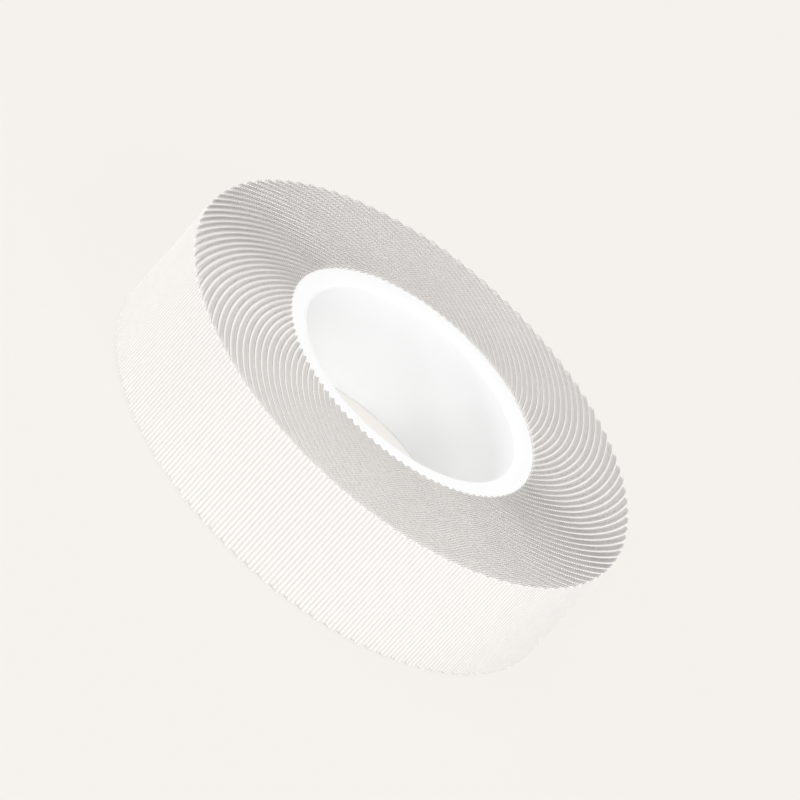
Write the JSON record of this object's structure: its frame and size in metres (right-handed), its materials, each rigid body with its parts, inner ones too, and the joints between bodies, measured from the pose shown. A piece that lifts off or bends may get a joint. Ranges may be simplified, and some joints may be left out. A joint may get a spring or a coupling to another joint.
{
  "type": "roll of surgical tape",
  "caption": "Roll of narrow white cloth surgical tape with pinked edges, wound on a moulded plastic core ring, with a free end that peels away.",
  "frame": {"origin": "on the roll's axis, at the face that the roll rests on", "axes": "+Z along the roll's axis, away from the face it rests on; the cut end of the tape is at the back, towards +Y"},
  "size_m": [0.0488, 0.0489, 0.0124],
  "materials": {
    "core_plastic": "smooth moulded white",
    "tape_cloth": "fine ribbed weave, white",
    "tape_edges": "pinked edges of the stacked turns",
    "tape_adhesive": "tacky, slightly yellow"
  },
  "bodies": {
    "roll": {"core": "core_plastic", "core_adhesive": "tape_adhesive", "wound_turns": "tape_edges", "outer_turn_adhesive": "tape_adhesive", "outer_turn_backing": "tape_cloth"},
    "free_end": {"free_end_adhesive": "tape_adhesive", "free_end_backing": "tape_cloth"}
  },
  "joints": [
    {"name": "peel", "type": "hinge", "parent": "roll", "child": "free_end", "pos_m": [0.00876, 0.02288, 0.00617], "axis": [0, 0, -1], "range_deg": [0, 150]}
  ]
}
